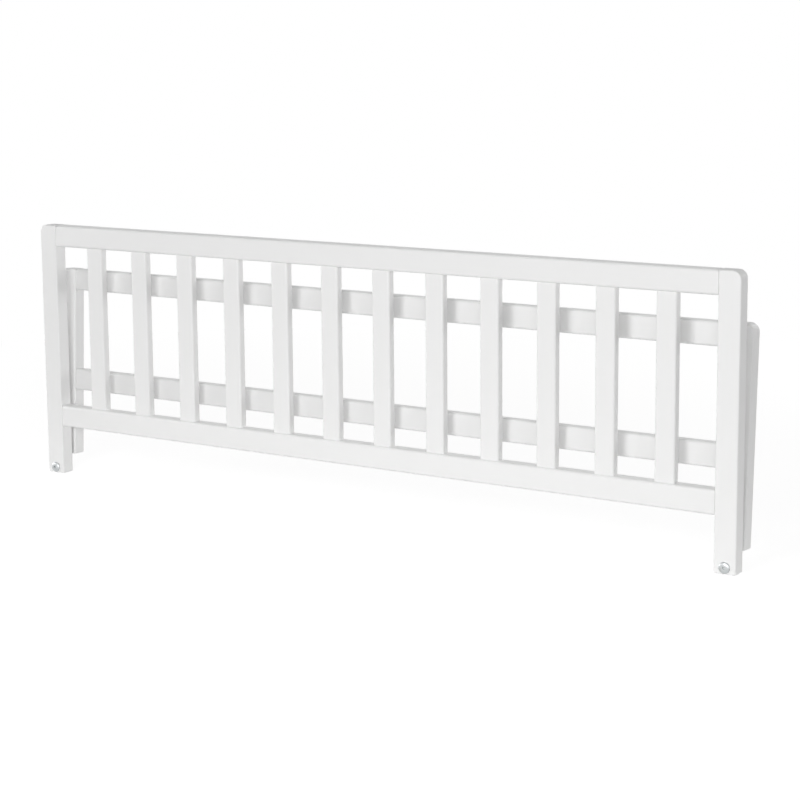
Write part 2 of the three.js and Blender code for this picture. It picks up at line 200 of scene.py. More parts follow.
class BedGuardHardware(bpy.types.PropertyGroup):
    """Sizes and colours of the hinges, bolts, nuts and screws."""

    leaf_thickness: length("Leaf thickness", "Thickness of a hinge leaf", 2.0)
    leaf_corner: length("Leaf corner", "Radius of the free corners of a hinge leaf", 2.5)
    leaf_edge: length("Leaf edge", "Radius of the stamped edges of a hinge leaf", 0.25)
    knuckle_gap: length("Knuckle gap", "Half of the gap between two knuckles, and the play of the pin", 0.2)
    pin_radius: length("Pin", "Radius of the hinge pin", 1.0)
    pin_head: length("Pin head", "Thickness of a rivet head of the hinge pin", 0.8)
    bolt_radius: length("Bolt shank", "Radius of the bolt's shank", 3.0)
    bolt_rim: length("Bolt rim", "Height of the rim under the dome of the bolt's head", 0.8)
    bolt_thread: length("Bolt thread", "Pitch of the bolt's thread", 1.0)
    sleeve_radius: length("Sleeve", "Radius of the nut's sleeve", 4.0)
    sleeve_bore: length("Sleeve bore", "Radius of the hole in the nut's sleeve", 3.3)
    sleeve_floor: length("Sleeve floor", "How far the sleeve's hole ends before the nut's head", 4.0)
    socket_width: length("Socket", "Width across the flats of the bolt's and the nut's hexagon socket", 4.0)
    socket_depth: length("Socket depth", "Depth of the hexagon sockets", 3.2)
    screw_radius: length("Screw shank", "Radius of a wood screw's shank", 1.5)
    screw_thread: length("Screw thread", "Pitch of a wood screw's thread", 1.6)
    head_height: length("Countersunk head", "Height of the cone of a countersunk head", 1.6)
    cross_length: length("Screw cross", "Length of the cross slots in a screw's head", 3.4)
    cross_width: length("Screw cross width", "Width of the cross slots in a screw's head", 0.8)
    cross_depth: length("Screw cross depth", "Depth of the cross slots in a screw's head", 1.2)
    zinc: colour("Zinc", "Zinc plating", "#bec1c2")
    zinc_haze: colour("Zinc haze", "The duller haze of the passivated plating", "#a8a9a4")


class BedGuardStage(bpy.types.PropertyGroup):
    """The floor, the light and the camera."""

    floor: colour("Floor", "Paper floor", "#f4f4f3")
    # Painted pool of light: beyond the pool the floor's colour turns to this dark grey, standing in for floor that
    # no lamp lights.
    painted_unlit_floor: colour("Unlit floor", "How the floor beyond the pool of light sends light back", "#2c2c2c")
    floor_shading: colour("Floor shading", "The share of the floor's own shading that is seen", "#969696")
    floor_lift: FloatProperty(
        name="Floor lift", description="Light added to the floor where it is seen", default=0.84, min=0
    )
    ambient: FloatProperty(
        name="Ambient", description="Strength of the even light all round", default=0.26, min=0
    )
    key_light: power("Key light", "Power of the tall soft light in front", 16.5)
    fill_light: power("Fill light", "Power of the soft light from the camera's side", 17.5)
    left_light: power("Left light", "Power of the soft light at the left front", 10)
    left_side_light: power("Left side light", "Power of the soft light on the left", 12)
    right_light: power("Right light", "Power of the low soft light on the right", 3.5)
    rear_light: power("Rear light", "Power of the soft light at the right rear", 8)
    back_light: power("Back light", "Power of the wide soft light behind the guard", 12)
    focal_length: FloatProperty(
        name="Lens", description="Focal length on a 36 mm sensor", default=90.783, unit="CAMERA"
    )
    camera_place: FloatVectorProperty(
        name="Camera",
        description="Where the camera stands",
        default=(1.614864, -2.417168, 0.732782),
        unit="LENGTH",
    )
    camera_turn: FloatProperty(
        name="Turn",
        description="How far the camera looks left of +Y",
        default=math.radians(32.745),
        unit="ROTATION",
    )
    camera_pitch: FloatProperty(
        name="Pitch",
        description="How far the camera looks down",
        default=math.radians(9.384),
        unit="ROTATION",
    )
    camera_roll: FloatProperty(
        name="Roll",
        description="How far the camera leans right",
        default=math.radians(-0.453),
        unit="ROTATION",
    )
    camera_shift: FloatProperty(
        name="Shift", description="Upward shift of the lens, as a share of the frame", default=-0.06841
    )


# Materials


def add_node(tree, kind, inputs=None, **settings):
    """Adds a shader node, sets its settings, and sets or links its inputs."""
    node = tree.nodes.new(kind)
    for name, value in settings.items():
        setattr(node, name, value)
    for name, value in (inputs or {}).items():
        if isinstance(value, bpy.types.NodeSocket):
            tree.links.new(value, node.inputs[name])
        else:
            node.inputs[name].default_value = value
    return node


def empty_material(name):
    """A new node material and its tree, with nothing in it but the output."""
    material = bpy.data.materials.new(name)
    material.use_nodes = True
    tree = material.node_tree
    tree.nodes.clear()
    output = tree.nodes.new("ShaderNodeOutputMaterial")
    return material, tree, output


def grain_scale(grain, axis):
    """Noise scale for grain of one width and length, drawn out along the given axis."""
    width, along = grain
    scale = [1 / width] * 3
    scale["XYZ".index(axis)] = 1 / along
    return scale


def sprayed_lacquer(wood, axis):
    """White satin lacquer sprayed on beech.

    The coat gives an even, slightly soft white with a wide sheen. Its orange peel breaks up the reflections,
    the beech's grain runs faintly under it along the piece, and on end grain it sinks in and turns a little
    rougher.
    """
    material, tree, output = empty_material(f"sprayed_lacquer_grain_{axis.lower()}")
    place = add_node(tree, "ShaderNodeTexCoord")
    tone = add_node(
        tree,
        "ShaderNodeTexNoise",
        {"Vector": place.outputs["Object"], "Scale": 1 / COAT_PATCH, "Detail": 2.0},
    )
    grain_place = add_node(
        tree, "ShaderNodeMapping", {"Vector": place.outputs["Object"], "Scale": grain_scale(WOOD_GRAIN, axis)}
    )
    grain = add_node(
        tree, "ShaderNodeTexNoise", {"Vector": grain_place.outputs["Vector"], "Scale": 1.0, "Detail": 3.0}
    )
    peel = add_node(
        tree,
        "ShaderNodeTexNoise",
        {"Vector": place.outputs["Object"], "Scale": 1 / ORANGE_PEEL, "Detail": 1.0},
    )
    facing = add_node(tree, "ShaderNodeSeparateXYZ", {"Vector": place.outputs["Normal"]})
    along = add_node(tree, "ShaderNodeMath", {0: facing.outputs[axis]}, operation="ABSOLUTE")
    end_grain = add_node(
        tree,
        "ShaderNodeMapRange",
        {"Value": along.outputs[0], "From Min": END_GRAIN[0], "From Max": END_GRAIN[1]},
    )
    pores = add_node(
        tree, "ShaderNodeTexNoise", {"Vector": place.outputs["Object"], "Scale": 1 / END_PORE, "Detail": 2.0}
    )
    blend = add_node(
        tree, "ShaderNodeMath", {0: tone.outputs["Fac"], 1: grain.outputs["Fac"]}, operation="MULTIPLY"
    )
    shade = add_node(
        tree, "ShaderNodeMix", {0: blend.outputs[0], 6: wood.lacquer, 7: wood.lacquer_thin}, data_type="RGBA"
    )
    rough = add_node(
        tree, "ShaderNodeMapRange", {"Value": tone.outputs["Fac"], "To Min": 0.32, "To Max": 0.4}
    )
    end_rough = add_node(
        tree,
        "ShaderNodeMath",
        {0: end_grain.outputs["Result"], 1: 0.15, 2: rough.outputs["Result"]},
        operation="MULTIPLY_ADD",
    )
    peel_bump = add_node(
        tree, "ShaderNodeBump", {"Height": peel.outputs["Fac"], "Strength": 0.25, "Distance": 0.06 * MM}
    )
    grain_bump = add_node(
        tree,
        "ShaderNodeBump",
        {
            "Height": grain.outputs["Fac"], "Strength": 0.35, "Distance": 0.08 * MM,
            "Normal": peel_bump.outputs["Normal"],
        },
    )
    pore_strength = add_node(
        tree, "ShaderNodeMath", {0: end_grain.outputs["Result"], 1: 0.5}, operation="MULTIPLY"
    )
    pore_bump = add_node(
        tree,
        "ShaderNodeBump",
        {
            "Height": pores.outputs["Fac"], "Strength": pore_strength.outputs[0], "Distance": 0.15 * MM,
            "Normal": grain_bump.outputs["Normal"],
        },
    )
    surface = add_node(
        tree,
        "ShaderNodeBsdfPrincipled",
        {
            "Base Color": shade.outputs[2],
            "Roughness": end_rough.outputs[0],
            "IOR": 1.5,
            "Coat Weight": 0.2,
            "Coat Roughness": 0.22,
            "Normal": pore_bump.outputs["Normal"],
        },
    )
    tree.links.new(surface.outputs["BSDF"], output.inputs["Surface"])
    return material


def bare_beech(wood):
    """Bare, turned beech dowel: pinkish straw wood with short darker rays along its length, and no gloss."""
    material, tree, output = empty_material("bare_turned_beech")
    place = add_node(tree, "ShaderNodeTexCoord")
    ray_place = add_node(
        tree, "ShaderNodeMapping", {"Vector": place.outputs["Object"], "Scale": grain_scale(BEECH_RAY, "X")}
    )
    rays = add_node(
        tree, "ShaderNodeTexNoise", {"Vector": ray_place.outputs["Vector"], "Scale": 1.0, "Detail": 3.0}
    )
    sharp = add_node(
        tree, "ShaderNodeMapRange", {"Value": rays.outputs["Fac"], "From Min": 0.5, "From Max": 0.72}
    )
    shade = add_node(
        tree,
        "ShaderNodeMix",
        {0: sharp.outputs["Result"], 6: wood.beech, 7: wood.beech_dark},
        data_type="RGBA",
    )
    bump = add_node(
        tree, "ShaderNodeBump", {"Height": rays.outputs["Fac"], "Distance": 0.1 * MM, "Strength": 0.5}
    )
    surface = add_node(
        tree,
        "ShaderNodeBsdfPrincipled",
        {"Base Color": shade.outputs[2], "Roughness": 0.72, "Normal": bump.outputs["Normal"]},
    )
    tree.links.new(surface.outputs["BSDF"], output.inputs["Surface"])
    return material


def zinc_plate(hardware):
    """Bright electroplated zinc with a clear passivation.

    It is a bluish silver with a thin yellow haze and a soft gloss, a little uneven from the plating barrel.
    """
    material, tree, output = empty_material("electroplated_zinc")
    place = add_node(tree, "ShaderNodeTexCoord")
    haze = add_node(
        tree,
        "ShaderNodeTexNoise",
        {"Vector": place.outputs["Object"], "Scale": 1 / PLATING_HAZE, "Detail": 2.0},
    )
    haze_share = add_node(
        tree,
        "ShaderNodeMapRange",
        {"Value": haze.outputs["Fac"], "From Min": 0.55, "From Max": 0.8, "To Max": 0.6},
    )
    shade = add_node(
        tree,
        "ShaderNodeMix",
        {0: haze_share.outputs["Result"], 6: hardware.zinc, 7: hardware.zinc_haze},
        data_type="RGBA",
    )
    scuffs = add_node(
        tree,
        "ShaderNodeTexNoise",
        {"Vector": place.outputs["Object"], "Scale": 1 / PLATING_SCUFF, "Detail": 3.0},
    )
    rough = add_node(
        tree, "ShaderNodeMapRange", {"Value": scuffs.outputs["Fac"], "To Min": 0.28, "To Max": 0.45}
    )
    bump = add_node(
        tree, "ShaderNodeBump", {"Height": scuffs.outputs["Fac"], "Distance": 0.03 * MM, "Strength": 0.4}
    )
    surface = add_node(
        tree,
        "ShaderNodeBsdfPrincipled",
        {
            "Base Color": shade.outputs[2],
            "Metallic": 1.0,
            "Roughness": rough.outputs["Result"],
            "Normal": bump.outputs["Normal"],
        },
    )
    tree.links.new(surface.outputs["BSDF"], output.inputs["Surface"])
    return material


def paper_floor(stage):
    """Matt white paper, which is seen lifted to white.

    Its colour darkens beyond a painted pool of light round the guard, so that it sends light back only from
    there and the feet are lit more than the top. Near the guard it keeps a share of its own shading, which
    shows the shadow, and farther off it is plain white.
    """
    material, tree, output = empty_material("matt_paper")
    place = add_node(tree, "ShaderNodeTexCoord")
    fibre = add_node(
        tree,
        "ShaderNodeTexNoise",
        {"Vector": place.outputs["Object"], "Scale": 1 / PAPER_FIBRE, "Detail": 2.0},
    )
    bump = add_node(
        tree, "ShaderNodeBump", {"Height": fibre.outputs["Fac"], "Distance": 0.05 * MM, "Strength": 0.2}
    )
    pool = add_node(
        tree, "ShaderNodeVectorMath", {0: place.outputs["Object"], 1: PAINTED_POOL_SHAPE}, operation="MULTIPLY"
    )
    from_pool = add_node(tree, "ShaderNodeVectorMath", {0: pool.outputs["Vector"]}, operation="LENGTH")
    unlit = add_node(
        tree,
        "ShaderNodeMapRange",
        {"Value": from_pool.outputs["Value"], "From Min": PAINTED_POOL_REACH[0], "From Max": PAINTED_POOL_REACH[1]},
    )
    # The painted pool of light: the floor's colour darkens away from the guard, standing in for floor that no lamp
    # reaches.
    painted_pool_tint = add_node(
        tree,
        "ShaderNodeMix",
        {0: unlit.outputs["Result"], 6: stage.floor, 7: stage.painted_unlit_floor},
        data_type="RGBA",
    )
    matt = add_node(
        tree, "ShaderNodeBsdfDiffuse", {"Color": painted_pool_tint.outputs[2], "Normal": bump.outputs["Normal"]}
    )
    shaded = add_node(tree, "ShaderNodeBsdfDiffuse", {"Color": stage.floor_shading})
    lift = add_node(tree, "ShaderNodeEmission", {"Strength": stage.floor_lift})
    near = add_node(tree, "ShaderNodeAddShader", {0: shaded.outputs[0], 1: lift.outputs[0]})
    white = add_node(tree, "ShaderNodeEmission", {"Strength": 1.0})
    distance = add_node(tree, "ShaderNodeVectorMath", {0: place.outputs["Object"]}, operation="LENGTH")
    far_share = add_node(
        tree,
        "ShaderNodeMapRange",
        {"Value": distance.outputs["Value"], "From Min": SHADED_FLOOR[0], "From Max": SHADED_FLOOR[1]},
    )
    seen = add_node(
        tree, "ShaderNodeMixShader", {0: far_share.outputs["Result"], 1: near.outputs[0], 2: white.outputs[0]}
    )
    both = add_node(tree, "ShaderNodeMixShader", {0: seen_ray(tree), 1: matt.outputs[0], 2: seen.outputs[0]})
    tree.links.new(both.outputs[0], output.inputs["Surface"])
    return material


def seen_ray(tree):
    """1 where a ray comes from the camera, a reflection or clear material, and 0 where it carries light."""
    path = add_node(tree, "ShaderNodeLightPath")
    mirrored = add_node(
        tree,
        "ShaderNodeMath",
        {0: path.outputs["Is Camera Ray"], 1: path.outputs["Is Glossy Ray"]},
        operation="MAXIMUM",
    )
    seen = add_node(
        tree,
        "ShaderNodeMath",
        {0: mirrored.outputs[0], 1: path.outputs["Is Transmission Ray"]},
        operation="MAXIMUM",
    )
    return seen.outputs[0]


def shared_material(name, make, *settings):
    """The material of that name, made the first time that it is asked for."""
    return bpy.data.materials.get(name) or make(*settings)


def lacquer(axis):
    """Lacquered wood whose grain runs along the given axis."""
    name = f"sprayed_lacquer_grain_{axis.lower()}"
    return shared_material(name, sprayed_lacquer, bpy.context.scene.bed_guard_wood, axis)


# Mesh tools


def arc(centre, radius, start, end, steps):
    """Points on an arc in the XY plane, from one angle to another in degrees."""
    angles = [math.radians(start + (end - start) * i / steps) for i in range(steps + 1)]
    return [(centre[0] + radius * math.cos(a), centre[1] + radius * math.sin(a)) for a in angles]


def rounded_outline(width, height, radius, place=(0, 0), steps=10):
    """A rectangle with rounded corners in the XY plane, from its lowest corner at the given place."""
    left, bottom = place[0] + radius, place[1] + radius
    right, top = place[0] + width - radius, place[1] + height - radius
    corners = [(right, bottom), (right, top), (left, top), (left, bottom)]
    return [
        point
        for corner, start in zip(corners, (-90, 0, 90, 180))
        for point in arc(corner, radius, start, start + 90, steps)
    ]


def new_piece(name, shape, direction):
    """Puts a mesh under construction into the scene as an object, turned to its direction."""
    for face in shape.faces:
        face.smooth = True
    mesh = bpy.data.meshes.new(name)
    shape.to_mesh(mesh)
    shape.free()
    mesh.transform(direction)
    piece = bpy.data.objects.new(name, mesh)
    bpy.context.scene.collection.objects.link(piece)
    return piece


def keep_flats_flat(piece):
    """Shades the flat faces flat and the rounds between them smooth."""
    shading = piece.modifiers.new("flat faces", "WEIGHTED_NORMAL")
    shading.weight = 100
    shading.keep_sharp = True


def prism(name, outline, depth, direction, end_radius, side_radius):
    """An outline given a depth, with rounded edges round its two ends and along its sides.

    The outline lies in the XY plane and the depth runs along +Z, before the direction turns it.
    """
    shape = bmesh.new()
    face = shape.faces.new([shape.verts.new((x, y, 0)) for x, y in outline])
    shape.normal_update()
    if face.normal.z > 0:
        face.normal_flip()
    sides = bmesh.ops.extrude_face_region(shape, geom=[face])["geom"]
    far_verts = [part for part in sides if isinstance(part, bmesh.types.BMVert)]
    bmesh.ops.translate(shape, vec=(0, 0, depth), verts=far_verts)
    bmesh.ops.recalc_face_normals(shape, faces=shape.faces)
    widest = max(end_radius, side_radius)
    weights = shape.edges.layers.float.new("bevel_weight_edge")
    for edge in shape.edges:
        runs_along = abs((edge.verts[0].co - edge.verts[1].co).normalized().z) > RUNS_ALONG
        radius = side_radius if runs_along else end_radius
        edge[weights] = radius / widest if edge.calc_face_angle() > PRISM_EDGE else 0
    piece = new_piece(name, shape, direction)
    rounding = piece.modifiers.new("eased edges", "BEVEL")
    rounding.limit_method = "WEIGHT"
    rounding.width = widest
    rounding.segments = EDGE_SEGMENTS
    rounding.use_clamp_overlap = True
    keep_flats_flat(piece)
    return piece


def lofted(name, sections, direction=ALONG_Z):
    """A closed piece through outlines of as many points each, given with their places along +Z."""
    shape = bmesh.new()
    rings = [[shape.verts.new((x, y, place)) for x, y in outline] for outline, place in sections]
    for low, high in zip(rings, rings[1:]):
        for i, vert in enumerate(low):
            after = (i + 1) % len(low)
            shape.faces.new((vert, low[after], high[after], high[i]))
    shape.faces.new(reversed(rings[0]))
    shape.faces.new(rings[-1])
    bmesh.ops.recalc_face_normals(shape, faces=shape.faces)
    piece = new_piece(name, shape, direction)
    piece.data.set_sharp_from_angle(angle=LOFT_EDGE)
    keep_flats_flat(piece)
    return piece


def turned(name, profile, steps, direction=ALONG_Z):
    """A piece turned on a lathe, from a profile of (radius, place along +Z) with both ends on the axis."""
    shape = bmesh.new()
    points = [shape.verts.new((radius, 0, place)) for radius, place in profile]
    lines = [shape.edges.new(pair) for pair in zip(points, points[1:])]
    bmesh.ops.spin(
        shape,
        geom=points + lines,
        cent=(0, 0, 0),
        axis=(0, 0, 1),
        angle=math.tau,
        steps=steps,
        use_merge=True,
    )
    bmesh.ops.remove_doubles(shape, verts=shape.verts, dist=SAME_PLACE)
    bmesh.ops.recalc_face_normals(shape, faces=shape.faces)
    piece = new_piece(name, shape, direction)
    piece.data.set_sharp_from_angle(angle=SHARP_EDGE)
    return piece


def combine(piece, others, operation):
    """Joins the other pieces to a piece or cuts them out of it, and deletes them."""
    for other in others:
        step = piece.modifiers.new(operation.lower(), "BOOLEAN")
        step.operation = operation
        step.solver = "EXACT"
        step.object = other
    graph = bpy.context.evaluated_depsgraph_get()
    result = bpy.data.meshes.new_from_object(piece.evaluated_get(graph))
    result.shade_smooth()
    result.set_sharp_from_angle(angle=SHARP_EDGE)
    piece.modifiers.clear()
    piece.data = result
    for other in others:
        bpy.data.objects.remove(other)


# Places in the frame


def body_of(node):
    """The name of the body that a node belongs to."""
    bodies = frame["record"]["behaviour"]["bodies"]
    return next(body for body, nodes in bodies.items() if node in nodes)


def upright_box(node):
    """A node's lowest and highest corner, with the support frame stood upright."""
    upright = STANDING[body_of(node)].inverted()
    points = [upright @ vertex.co for vertex in frame["nodes"][node].data.vertices]
    low = Vector([min(point[i] for point in points) for i in range(3)])
    high = Vector([max(point[i] for point in points) for i in range(3)])
    return low, high


def nodes_named(start):
    """The frame's nodes whose names start with these words, in order."""
    return sorted(name for name in frame["nodes"] if name.startswith(start))


def install(piece, node, material):
    """Stands a piece in for its node: leans it with its frame, and gives it its material and its body."""
    body = body_of(node)
    piece.data.transform(STANDING[body])
    piece.data.materials.clear()
    piece.data.materials.append(material)
    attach(piece, body)
    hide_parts(node)


# Wooden pieces


def add_upright(node, name, side):
    """A post or leg with a rounded outer top corner, standing square at its inner side."""
    wood = bpy.context.scene.bed_guard_wood
    low, high = upright_box(node)
    width, depth, height = high - low
    foot = wood.foot_radius
    inner_foot = arc((foot, foot), foot, 180, 270, SMALL_ARC_STEPS)
    outer_foot = arc((width - foot, foot), foot, -90, 0, SMALL_ARC_STEPS)
    radius = wood.corner_radius
    corner = arc((width - radius, height - radius), radius, 0, 90, CORNER_STEPS)
    outline = [(side * x, y) for x, y in [(0, height)] + inner_foot + outer_foot + corner]
    piece = prism(name, outline, depth, TO_FRONT, wood.edge_radius, wood.arris)
    inner = low.x if side > 0 else high.x
    piece.data.transform(Matrix.Translation((inner, high.y, low.z)))
    install(piece, node, lacquer("Z"))


def add_rail(node, name):
    """A rail with eased long edges, ends that are rounded most at the top, and an open line at each end."""
    wood = bpy.context.scene.bed_guard_wood
    low, high = upright_box(node)
    low.x += wood.joint_line
    high.x -= wood.joint_line
    length_x, depth, height = high - low
    sections = []
    for angle in [math.radians(90 * i / RAIL_END_STEPS) for i in range(RAIL_END_STEPS + 1)]:
        rest = 1 - math.sin(angle)
        side, top = wood.rail_end_side * rest, wood.rail_end_top * rest
        radius = wood.rail_radius - side
        outline = rounded_outline(depth - 2 * side, height - side - top, radius, (side, side))
        sections.append((outline, wood.rail_end_top * (1 - math.cos(angle))))
    sections += [(outline, length_x - place) for outline, place in reversed(sections)]
    piece = lofted(name, sections, Matrix.Translation(low) @ ALONG_X)
    install(piece, node, lacquer("X"))


def add_slat(node, name, foot, head):
    """A slat with eased long edges, coped to the rails' rounded edges, with a tenon at each end."""
    wood = bpy.context.scene.bed_guard_wood
    low, high = upright_box(node)
    width, depth, _ = high - low
    step = wood.shoulder
    body = rounded_outline(width, depth, wood.slat_radius)
    tenon = rounded_outline(width - 2 * step, depth - 2 * step, wood.tenon_radius, (step, step))
    ends = [(tenon, low.z), (tenon, foot - wood.coping), (body, foot - wood.coping)]
    ends += [(body, head + wood.coping), (tenon, head + wood.coping), (tenon, high.z)]
    piece = lofted(name, ends, Matrix.Translation((low.x, low.y, 0)))
    install(piece, node, lacquer("Z"))


def fluted_outline(radius, depth, flutes=14, steps=6):
    """A circle with shallow round flutes."""
    count = flutes * steps
    radii = [radius - depth * (0.5 - 0.5 * math.cos(math.tau * i / steps)) for i in range(count)]
    angles = [math.tau * i / count for i in range(count)]
    return [(r * math.cos(a), r * math.sin(a)) for r, a in zip(radii, angles)]


def add_dowel(node, name):
    """A beech dowel with glue flutes along it and bevelled ends."""
    wood = bpy.context.scene.bed_guard_wood
    low, high = upright_box(node)
    radius = (high.z - low.z) / 2
    length_x = high.x - low.x
    bevel = wood.dowel_chamfer
    body = fluted_outline(radius, wood.flute_depth)
    end = fluted_outline(radius - bevel, wood.flute_depth / 2)
    sections = [(end, 0), (body, bevel), (body, length_x - bevel), (end, length_x)]
    place = (low.x, (low.y + high.y) / 2, (low.z + high.z) / 2)
    piece = lofted(name, sections, Matrix.Translation(place) @ ALONG_X)
    material = shared_material("bare_turned_beech", bare_beech, wood)
    install(piece, node, material)


# Hinges and fasteners


def rod(name, radius, low, high, steps, direction=ALONG_Z):
    """A plain round or faceted rod along +Z, used to cut with."""
    return turned(name, [(0, low), (radius, low), (radius, high), (0, high)], steps, direction)


def thread(radius, start, end, pitch):
    """Profile points of a thread from one place to another, as ridges a pitch apart."""
    root = radius - THREAD_DEPTH * pitch
    count = int(abs(end - start) / pitch)
    step = (end - start) / count
    ridges = [[(root, start + step * i), (radius, start + step * (i + 0.5))] for i in range(count)]
    return [point for ridge in ridges for point in ridge]


def dome(radius, height, place, flat=0, steps=12):
    """Profile points of a dome that starts at a place along +Z and ends at the rim of its flat middle."""
    angles = [math.radians(90 * i / steps) for i in range(steps + 1)]
    return [(flat + (radius - flat) * math.cos(a), place + height * math.sin(a)) for a in angles]


def install_zinc(piece, node):
    """Stands a zinc plated piece in for its node."""
    material = shared_material("electroplated_zinc", zinc_plate, bpy.context.scene.bed_guard_hardware)
    install(piece, node, material)


def add_bolt(node, name):
    """A domed bolt with a thin rim and a hexagon socket, its threaded shank running back through the post."""
    hardware = bpy.context.scene.bed_guard_hardware
    low, high = upright_box(node)
    face = upright_box(node.replace("bolt", "post"))[0].y
    radius = (high.x - low.x) / 2
    head, tip = face - low.y, face - high.y
    shank, rim = hardware.bolt_radius, hardware.bolt_rim
    bevel, chamfer, plain = hardware.leaf_edge, shank / 4, tip / 4
    profile = [(0, tip), (shank - chamfer, tip)]
    profile += thread(shank, tip + chamfer, plain, hardware.bolt_thread)
    profile += [(shank, plain), (shank, 0), (radius - bevel, 0), (radius, bevel)]
    profile += dome(radius, head - rim, rim, flat=hardware.socket_width) + [(0, head)]
    piece = turned(name, profile, LARGE_TURN)
    depth = hardware.socket_depth
    socket = rod("socket", hardware.socket_width / math.sqrt(3), head - depth, head + depth, 6)
    combine(piece, [socket], "DIFFERENCE")
    piece.data.transform(Matrix.Translation(((low.x + high.x) / 2, face, (low.z + high.z) / 2)) @ TO_FRONT)
    install_zinc(piece, node)


def add_sleeve_nut(node, name):
    """A countersunk sleeve nut behind the post's leaf, with a hexagon socket and a bore for the bolt."""
    hardware = bpy.context.scene.bed_guard_hardware
    low, high = upright_box(node)
    radius, end = (high.x - low.x) / 2, high.y - low.y
    bevel = hardware.leaf_edge
    sleeve, bore, floor = hardware.sleeve_radius, hardware.sleeve_bore, hardware.sleeve_floor
    profile = [(0, 0), (radius - bevel, 0), (radius, bevel), (sleeve, hardware.head_height)]
    profile += [(sleeve, end - bevel), (sleeve - bevel, end), (bore, end), (bore, floor), (0, floor)]
    piece = turned(name, profile, MIDDLE_TURN)
    depth = hardware.socket_depth
    socket = rod("socket", hardware.socket_width / math.sqrt(3), -depth, depth, 6)
    combine(piece, [socket], "DIFFERENCE")
    piece.data.transform(Matrix.Translation(((low.x + high.x) / 2, high.y, (low.z + high.z) / 2)) @ TO_FRONT)
    install_zinc(piece, node)


def cross_outline(length_x, width):
    """The outline of a cross of two slots."""
    far, near = length_x / 2, width / 2
    arm = [(far, -near), (far, near), (near, near)]
    return [
        (x * math.cos(a) - y * math.sin(a), x * math.sin(a) + y * math.cos(a))
        for a in [math.radians(90 * i) for i in range(4)]
        for x, y in arm
    ]


def add_screw(node, name, direction):
    """A countersunk wood screw with a cross recess that narrows as it goes down."""
    hardware = bpy.context.scene.bed_guard_hardware
    low, high = upright_box(node)
    radius, end = (high.x - low.x) / 2, high.y - low.y
    shank, bevel = hardware.screw_radius, hardware.leaf_edge / 2
    plain, taper = end / 3, end - 2 * shank
    profile = [(0, 0), (radius - bevel, 0), (radius, bevel), (shank, hardware.head_height)]
    profile += [(shank, plain)] + thread(shank, plain, taper, hardware.screw_thread)
    profile += [(shank * SCREW_POINT, taper), (0, end)]
    piece = turned(name, profile, SMALL_TURN)
    wide = cross_outline(hardware.cross_length, hardware.cross_width)
    narrow = cross_outline(hardware.cross_length / 2, hardware.cross_width / 2)
    cross = lofted("cross", [(wide, -bevel), (narrow, hardware.cross_depth)])
    cross.modifiers.clear()
    combine(piece, [cross], "DIFFERENCE")
    head = high.y if direction is HANGING else low.y
    piece.data.transform(Matrix.Translation(((low.x + high.x) / 2, head, (low.z + high.z) / 2)) @ direction)
    install_zinc(piece, node)


def leaf_outline(half, reach, corner, third, gap, clearing, knuckles):
    """The outline of a hinge leaf: notched at the other leaf's knuckles, with two rounded free corners."""
    near = []
    for place in (-1, 0, 1):
        own = place in knuckles
        overlap = -gap if own else gap
        for side in (-1, 1):
            x = (place + side / 2) * third + side * overlap
            near.append((max(-half, min(half, x)), 0 if own else clearing))
    far = arc((half - corner, reach - corner), corner, 0, 90, SMALL_ARC_STEPS)
    return near + far + arc((corner - half, reach - corner), corner, 90, 180, SMALL_ARC_STEPS)


def add_hinge_leaf(node, name, direction, knuckles, fasteners):
    """A leaf stamped from steel strip, with rounded edges, countersunk holes and knuckles round the pin."""
    hardware = bpy.context.scene.bed_guard_hardware
    low, high = upright_box(node)
    width = high.x - low.x
    gap, edge, thickness = hardware.knuckle_gap, hardware.leaf_edge, hardware.leaf_thickness
    reach = max(HINGE_AXIS.z - low.z, high.z - HINGE_AXIS.z)
    wood_face = max(HINGE_AXIS.y - low.y, high.y - HINGE_AXIS.y)
    knuckle = min(HINGE_AXIS.y - low.y, high.y - HINGE_AXIS.y)
    free_face = wood_face - thickness
    third, half = width / 3, width / 2 - gap
    outline = leaf_outline(half, reach, hardware.leaf_corner, third, gap, knuckle + gap, knuckles)
    piece = prism(name, outline, thickness, Matrix.Translation((0, 0, free_face)), edge, edge)
    end = third / 2 - gap
    barrel = [(0, -end), (knuckle - edge, -end), (knuckle, edge - end)]
    barrel += [(knuckle, end - edge), (knuckle - edge, end), (0, end)]
    barrels = [
        turned("knuckle", barrel, MIDDLE_TURN, Matrix.Translation((place * third, 0, 0)) @ ALONG_X)
        for place in knuckles
    ]
    combine(piece, barrels, "UNION")
    stand = Matrix.Translation(((low.x + high.x) / 2, HINGE_AXIS.y, HINGE_AXIS.z)) @ direction
    holes = [rod("bore", hardware.pin_radius + gap, -width, width, SMALL_TURN, ALONG_X)]
    for fastener, shank in fasteners:
        first, last = upright_box(fastener)
        place = stand.inverted() @ ((first + last) / 2)
        head = (last.x - first.x) / 2 + gap / 2
        profile = [(0, -edge), (head, -edge), (head, 0), (shank + gap, hardware.head_height)]
        profile += [(shank + gap, 2 * thickness), (0, 2 * thickness)]
        holes.append(turned("hole", profile, SMALL_TURN, Matrix.Translation((place.x, place.y, free_face))))
    combine(piece, holes, "DIFFERENCE")
    piece.data.transform(stand)
    install_zinc(piece, node)


def add_hinge_pin(node, name):
    """The hinge's pin, riveted over at both ends."""
    hardware = bpy.context.scene.bed_guard_hardware
    low, high = upright_box(node)
    head = (high.z - low.z) / 2
    inner = (high.x - low.x) / 2 - hardware.pin_head
    rivet = dome(head, hardware.pin_head, inner)
    far_half = [(hardware.pin_radius, inner)] + rivet
    near_half = [(radius, -place) for radius, place in reversed(far_half)]
    centre = (low + high) / 2
    piece = turned(name, near_half + far_half, SMALL_TURN, Matrix.Translation(centre) @ ALONG_X)
    install_zinc(piece, node)


class BedGuardOperator:
    """What the guard's operators share."""

    bl_options = {"REGISTER", "UNDO"}


